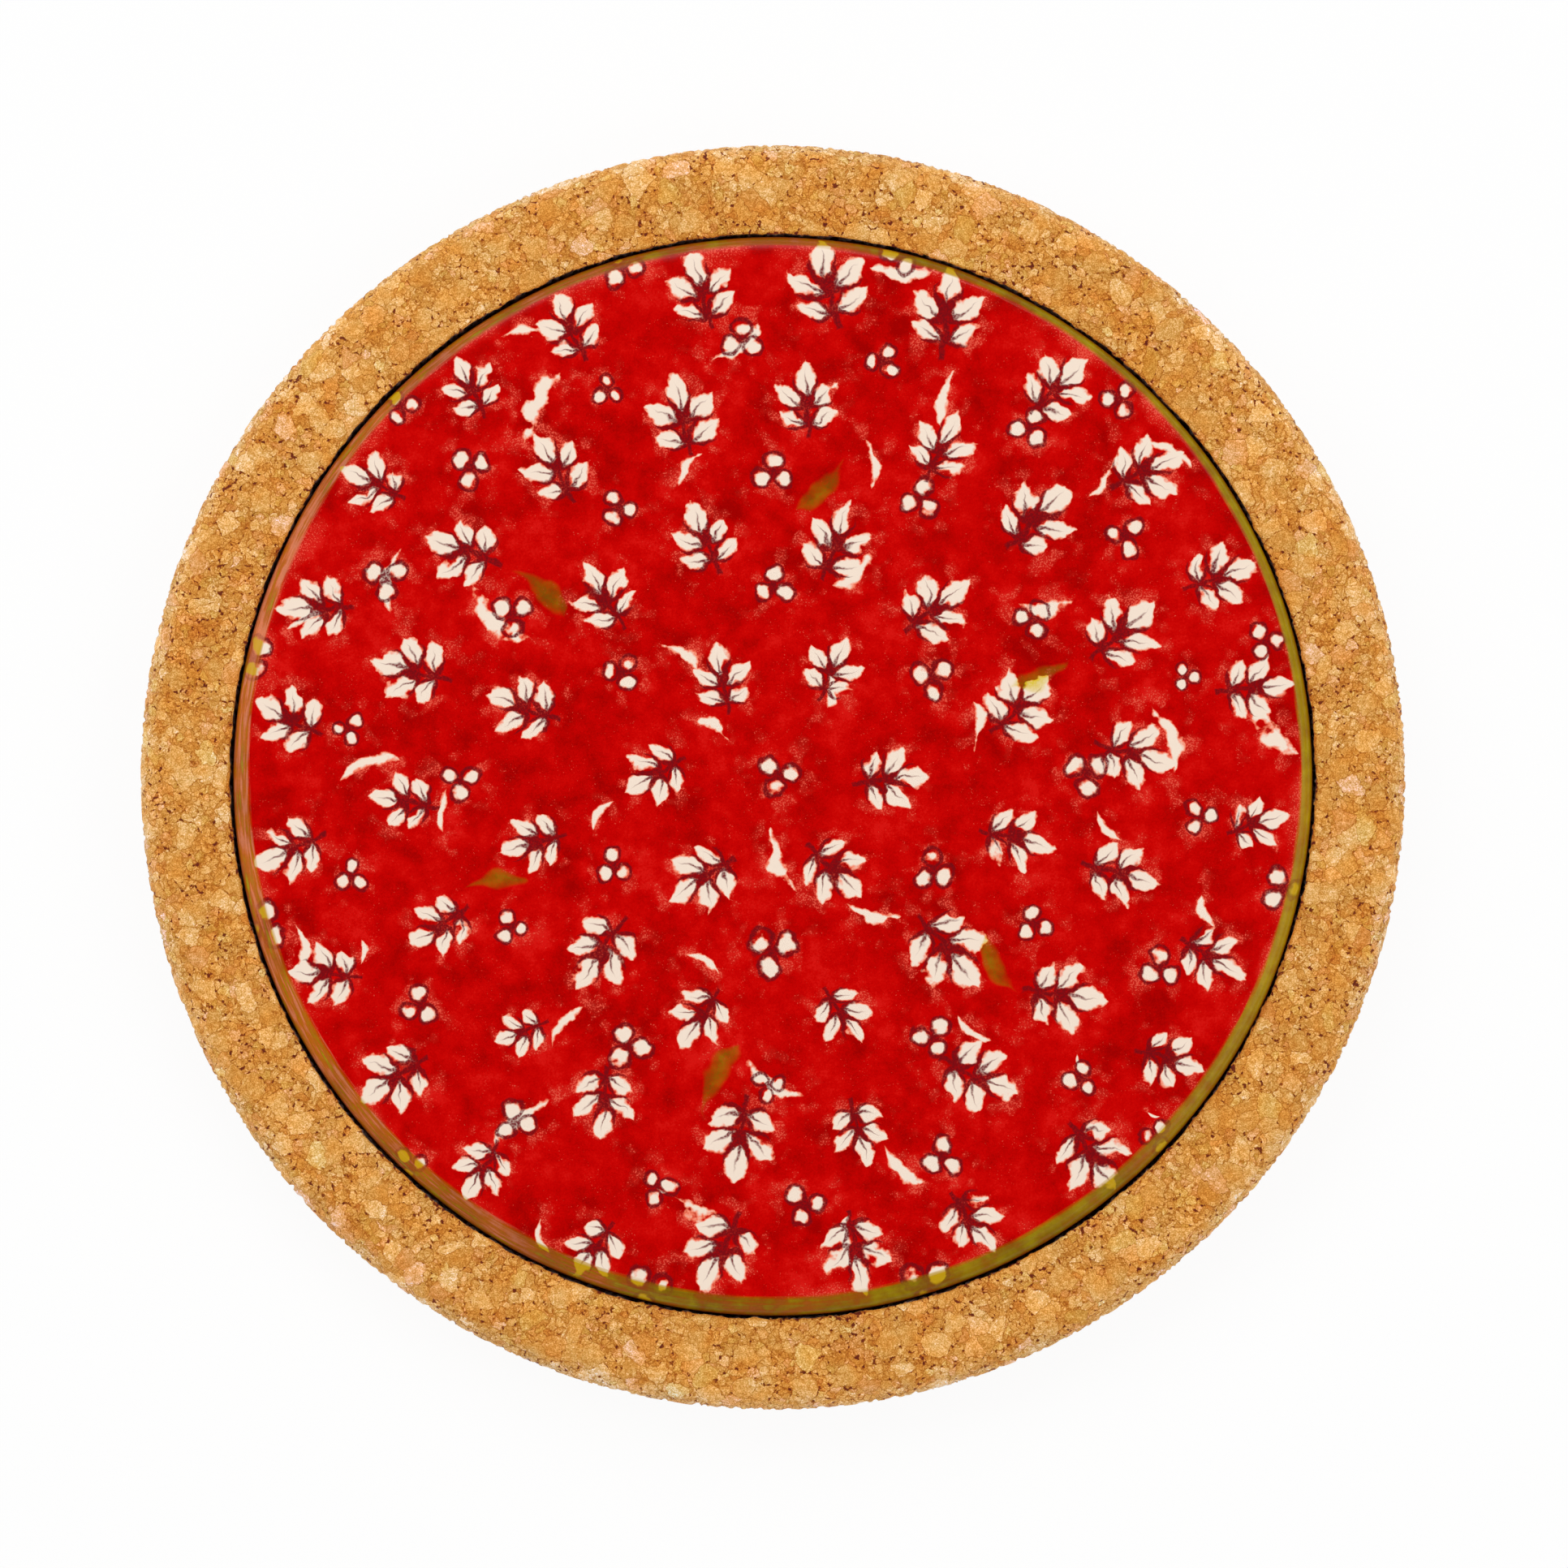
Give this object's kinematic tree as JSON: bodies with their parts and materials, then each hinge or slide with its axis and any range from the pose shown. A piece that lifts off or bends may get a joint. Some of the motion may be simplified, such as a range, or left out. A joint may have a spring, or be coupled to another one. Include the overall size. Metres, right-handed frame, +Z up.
{
  "type": "trivet",
  "caption": "Round trivet: a glazed earthenware tile with a rounded shoulder, bonded into the pocket of a thick cork base with rounded edges.",
  "frame": {"origin": "middle of the flat foot, on the surface that the trivet stands on", "axes": "+Z up along the axis that every piece is turned about; X and Y lie in the foot, with no preferred direction"},
  "size_m": [0.21, 0.21, 0.019],
  "materials": {
    "cork": "matte",
    "glazed_earthenware": "gloss",
    "silicone_adhesive": "satin"
  },
  "bodies": {
    "root": {"cork_base": "cork", "ceramic_tile": "glazed_earthenware", "tile_adhesive": "silicone_adhesive"}
  },
  "joints": []
}
